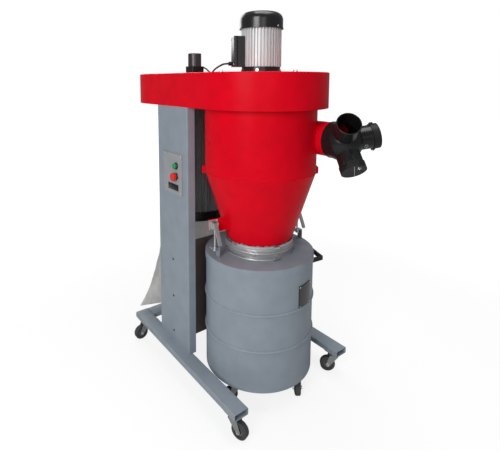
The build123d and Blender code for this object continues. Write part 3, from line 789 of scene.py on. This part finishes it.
def make_bag(mats):
    """Clear film bag: gathered at the band, creased down its length and welded flat at the foot."""
    low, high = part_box("dust_bag")
    band_low, band_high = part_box("filter_band")
    axis = centre_of("filter_band")
    neck_radius = (band_high.x - band_low.x) / 2 - bag_neck_inset
    turn = Matrix.Rotation(bag_turn, 3, "Z")

    def point(share, angle):
        half_x = bag_half_size(share, neck_radius, bag_mid_half_width, bag_foot_half)
        half_y = bag_half_size(share, neck_radius, bag_mid_half_depth, bag_seam_half_depth)
        half_y = max(bag_seam_half_depth, half_y)
        slack = math.sin(math.pi * min(1, share * bag_slack_end_share)) ** bag_slack_power
        fold_size = bag_fold_top_share + (1 - bag_fold_top_share) * share
        fold = bag_fold * math.sin(bag_folds * angle + bag_fold_drift * share) * slack * fold_size
        spot = noise_spot(angle, share, bag_noise_round, bag_noise_rise)
        rough = noise.noise(spot) + bag_fine_share * noise.noise(spot * bag_fine_scale)
        crinkle = bag_crinkle * rough * slack
        crease = bag_crease * (bag_crease_share - abs(noise.noise(spot * bag_crease_scale))) * slack
        relief = fold + crinkle + crease
        flat = 1 - bag_foot_flat_share * share ** bag_flat_power
        hem = bag_hem_step * smooth_step(share, bag_hem_share, bag_hem_share + bag_hem_run_share)
        sway_spot = Vector((math.cos(angle) * bag_sway_scale, bag_sway_row_share, share * bag_sway_scale))
        sway = bag_sway * noise.noise(sway_spot) * share
        x = half_x * math.cos(angle) * (1 + bag_side_relief_share * relief / max(half_x, half_y))
        y = (half_y + relief * flat + hem) * math.sin(angle) + sway
        spread = turn @ Vector((x, y, 0))
        return Vector((axis.x, axis.y, high.z - share * (high.z - low.z))) + spread

    verts, faces = tube_grid(bag_rows, bag_columns, point)
    mesh = mesh_from("film_bag", verts, [tuple(reversed(face)) for face in faces])
    piece = add_piece("film_bag", mesh, "root", "bag_film", mats)
    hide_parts("dust_bag")


def make_control_fittings(mats):
    """Corner screws, the bare dark plate and the button collars on the control panel."""
    low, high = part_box("control_panel")
    outward = Vector((-1, 0, 0))
    screws = []
    for y in (low.y + control_screw_inset, high.y - control_screw_inset):
        for z in (low.z + control_screw_inset, high.z - control_screw_inset):
            screws.append(screw_head((low.x, y, z), outward, control_screw_radius))
    add_group("control_screws", screws, "bright_steel", mats)
    profile = profile_of(collar_profile_shares, collar_radius, collar_height)
    collars = []
    for node in ("start_button", "stop_button"):
        button = centre_of(node)
        collars.append(turned(profile, round_segments, facing((low.x, button.y, button.z), outward)))
    add_group("button_collars", collars, "black_plastic", mats)
    start = centre_of("start_button")
    spot = Vector((low.x - name_plate_size[0] / 2, start.y + name_plate_setback, low.z + name_plate_lift))
    plate = slab(Matrix.Translation(spot), name_plate_size, name_plate_bevel)
    add_group("control_dark_plate", [plate], "black_plastic", mats)


def make_column_screws(mats):
    """Three small dark screws that hold the cross panel through each column."""
    screws = []
    for node, side in column_sides:
        low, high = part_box(node)
        face_x = low.x if side < 0 else high.x
        for z in column_screw_heights:
            screws.append(screw_head((face_x, column_screw_y, z), (side, 0, 0), column_screw_radius))
    add_group("column_screws", screws, "dark_screw", mats)


def joint_named(name):
    """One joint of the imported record."""
    return next(joint for joint in frame["record"]["behaviour"]["joints"] if joint["name"] == name)


def make_castor_fittings(mats):
    """Hub discs on each wheel, and axle bolts on each fork."""
    for prefix, names in castor_names.items():
        for name in names:
            stem = prefix + "_" + name
            axis = Vector(joint_named(stem + "_spin")["axis"]).normalized()
            centre = centre_of(stem + "_wheel")
            low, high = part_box(stem + "_wheel")
            rim = (high.z - low.z) / 2 * hub_radius_share
            half = wheel_halves[prefix]
            bump = hub_sink * hub_bump_share
            profile = profile_of(hub_profile_shares, rim, bump) + [(axle_bolt_radius, bump * hub_crown_share)]
            hubs = []
            bolts = []
            for way in (-axis, axis):
                hub_place = facing(centre + way * (half - hub_sink), way)
                hubs.append(turned(profile, round_segments, hub_place))
                bolts += hex_bolt(centre + way * (half + fork_outer_gap), way, axle_bolt_radius)
            add_group(stem + "_hubs", hubs, "hub_plastic", mats, stem + "_wheel")
            add_group(stem + "_axle_bolt", bolts, "bright_steel", mats, stem + "_fork")


def make_motor_fittings(mats):
    """Bolts on the housing and round the flange, cover screws and terminal box screws."""
    flange_low, flange_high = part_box("motor_flange")
    axis = centre_of("motor_flange")
    up = Vector((0, 0, 1))
    bolts = []
    for degrees in housing_bolt_turns:
        turn = math.radians(degrees)
        spot = around(axis, turn, housing_bolt_ring, flange_low.z)[0]
        bolts += hex_bolt(spot, up, housing_bolt_radius, turn)
    flange_reach = (flange_high.x - flange_low.x) / 2
    cover_low, cover_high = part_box("motor_fan_cover")
    cover_reach = (cover_high.x - cover_low.x) / 2 - cover_screw_sink
    screws = []
    for step in range(flange_bolt_count):
        turn = math.radians(flange_bolt_turn + 360 * step / flange_bolt_count)
        spot, outward = around(axis, turn, flange_reach, flange_low.z + flange_bolt_lift)
        bolts += hex_bolt(spot, outward, flange_bolt_radius)
    for step in range(cover_screw_count):
        turn = math.radians(cover_screw_turn + 360 * step / cover_screw_count)
        spot, outward = around(axis, turn, cover_reach, cover_low.z + cover_screw_lift)
        screws.append(screw_head(spot, outward, cover_screw_radius))
    box_low, box_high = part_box("terminal_box")
    outward = Vector((math.cos(gland_turn), math.sin(gland_turn), 0))
    across = Vector((-outward.y, outward.x, 0))
    for side in (-1, 1):
        for z in (box_low.z + box_screw_inset, box_high.z - box_screw_inset):
            spot = outward * box_face_reach + across * side * box_screw_half_width + up * z
            screws.append(screw_head(spot, outward, box_screw_radius))
    add_group("housing_bolts", bolts, "bright_steel", mats)
    add_group("motor_screws", screws, "bright_steel", mats)


def make_window_fittings(mats):
    """Four screws round the drum's sight window."""
    pane_low, pane_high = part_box("sight_window")
    pane = centre_of("sight_window")
    middle = math.atan2(pane.y, pane.x)
    reach = drum_radius + window_sheet
    half_turn = (window_width / 2 - window_screw_inset) / reach
    screws = []
    for turn in (middle - half_turn, middle + half_turn):
        for z in (pane_low.z + window_screw_inset, pane_high.z - window_screw_inset):
            spot, outward = around(main_axis, turn, reach, z)
            screws.append(screw_head(spot, outward, window_screw_radius))
    add_group("window_screws", screws, "bright_steel", mats)


def port_way(index):
    """Unit vector along one of the splayed hose ports."""
    turn = port_turn + index * 2 * math.pi / port_count
    flat = math.sin(port_splay)
    return Vector((flat * math.cos(turn), -math.cos(port_splay), flat * math.sin(turn)))


def make_adapter_fittings(mats):
    """Rounded rim on the open port, and the rings and the seam on the two caps."""
    open_way = port_way(1)
    rim = wire_ring(facing(adapter_place + open_way * port_reach, open_way), port_radius - port_rim, port_rim)
    add_group("port_rim", [rim], "black_plastic", mats)
    lower_way = port_way(2)
    face = adapter_place + lower_way * lower_cap_face
    up = (Vector((0, 0, 1)) - lower_way * lower_way.z).normalized()
    right = up.cross(lower_way)
    spot = face + right * lower_ring_right + up * lower_ring_up
    rings = [wire_ring(facing(spot, lower_way), cap_ring_radius, cap_ring_wire)]
    along = up * math.cos(lower_seam_turn) - right * math.sin(lower_seam_turn)
    strip_turn = Matrix((along, lower_way.cross(along), lower_way)).transposed().to_4x4()
    strip_place = Matrix.Translation(face + right * lower_seam_right) @ strip_turn
    strip_size = (2 * lower_cap_radius - seam_strip_width * 2, seam_strip_width, seam_strip_sheet)
    rings.append(slab(strip_place, strip_size, seam_strip_sheet * seam_bevel_share))
    side_way = port_way(0)
    across = Vector((0, 1, 0)).cross(side_way).normalized()
    front = across.cross(side_way)
    ear = adapter_place + side_way * (side_ear_reach + side_ring_along) + across * side_ear_radius
    ear_ring = facing(ear + front * (side_ear_half + cap_ring_wire), front)
    rings.append(wire_ring(ear_ring, cap_ring_radius, cap_ring_wire))
    outward = across * math.cos(tether_ring_turn) + side_way.cross(across) * math.sin(tether_ring_turn)
    tether = adapter_place + side_way * tether_ring_reach + outward * port_radius
    rings.append(wire_ring(facing(tether, outward), cap_ring_radius, cap_ring_wire))
    add_group("cap_rings", rings, "bright_steel", mats)


def make_clamp_fittings(mats):
    """Screws and pivot heads on the toggle clamps, and the worm clamps' hexagon heads."""
    turn = Matrix.Rotation(clamp_turn, 3, "Z")
    screws = []
    for reach, side in clamp_rods:
        for shift in (clamp_screw_near, clamp_screw_far):
            for rise in (-clamp_screw_rise, clamp_screw_rise):
                spot = Vector((side * (reach + shift), clamp_plate_face, clamp_middle_height + rise))
                screws.append(screw_head(turn @ spot, turn @ Vector((0, -1, 0)), clamp_screw_radius))
        for end in (-1, 1):
            spot = Vector((side * reach + end * clamp_pivot_half, clamp_pivot_y, clamp_pivot_height))
            screws.append(screw_head(turn @ spot, turn @ Vector((end, 0, 0)), clamp_pivot_radius))
    along = Vector((-math.sin(worm_turn), math.cos(worm_turn), 0))
    for height in worm_heights:
        spot = around(main_axis, worm_turn, worm_reach, height)[0]
        screws += hex_bolt(spot + along * worm_half_length, along, worm_head_radius)
    add_group("clamp_screws", screws, "bright_steel", mats)


def make_welds(mats):
    """Bead at the cyclone's crease, and beads where the columns stand on the legs."""
    turns = [2 * math.pi * step / ring_steps for step in range(ring_steps + 1)]
    crease = [around(main_axis, turn, barrel_radius, crease_height)[0] for turn in turns]
    add_group("crease_bead", [weld_bead_along(crease, crease_bead)], "red_paint", mats)
    beads = []
    for node, side in column_sides:
        low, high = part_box(node)
        outer_x = low.x if side < 0 else high.x
        start = (outer_x, low.y, low.z)
        end = (outer_x, high.y, low.z)
        beads.append(weld_bead_along(line_points(start, end, weld_step), weld_bead))
    add_group("column_welds", beads, "grey_paint", mats)


def dress_nodes(mats):
    """Give every carried-over CAD node its procedural finish."""
    for entry in frame["record"]["subparts"]:
        obj = frame["nodes"][entry["node"]]
        obj.data.materials.clear()
        obj.data.materials.append(mats[own_finishes.get(entry["node"], entry["material_slot"])])


def main():
    bpy.context.scene.view_settings.view_transform = "Standard"
    make_camera()
    make_world()
    make_floor()
    make_lamps()
    mats = make_materials()
    dress_nodes(mats)
    make_cable(mats)
    make_hose(mats)
    make_bag(mats)
    make_control_fittings(mats)
    make_column_screws(mats)
    make_castor_fittings(mats)
    make_motor_fittings(mats)
    make_window_fittings(mats)
    make_adapter_fittings(mats)
    make_clamp_fittings(mats)
    make_welds(mats)


main()
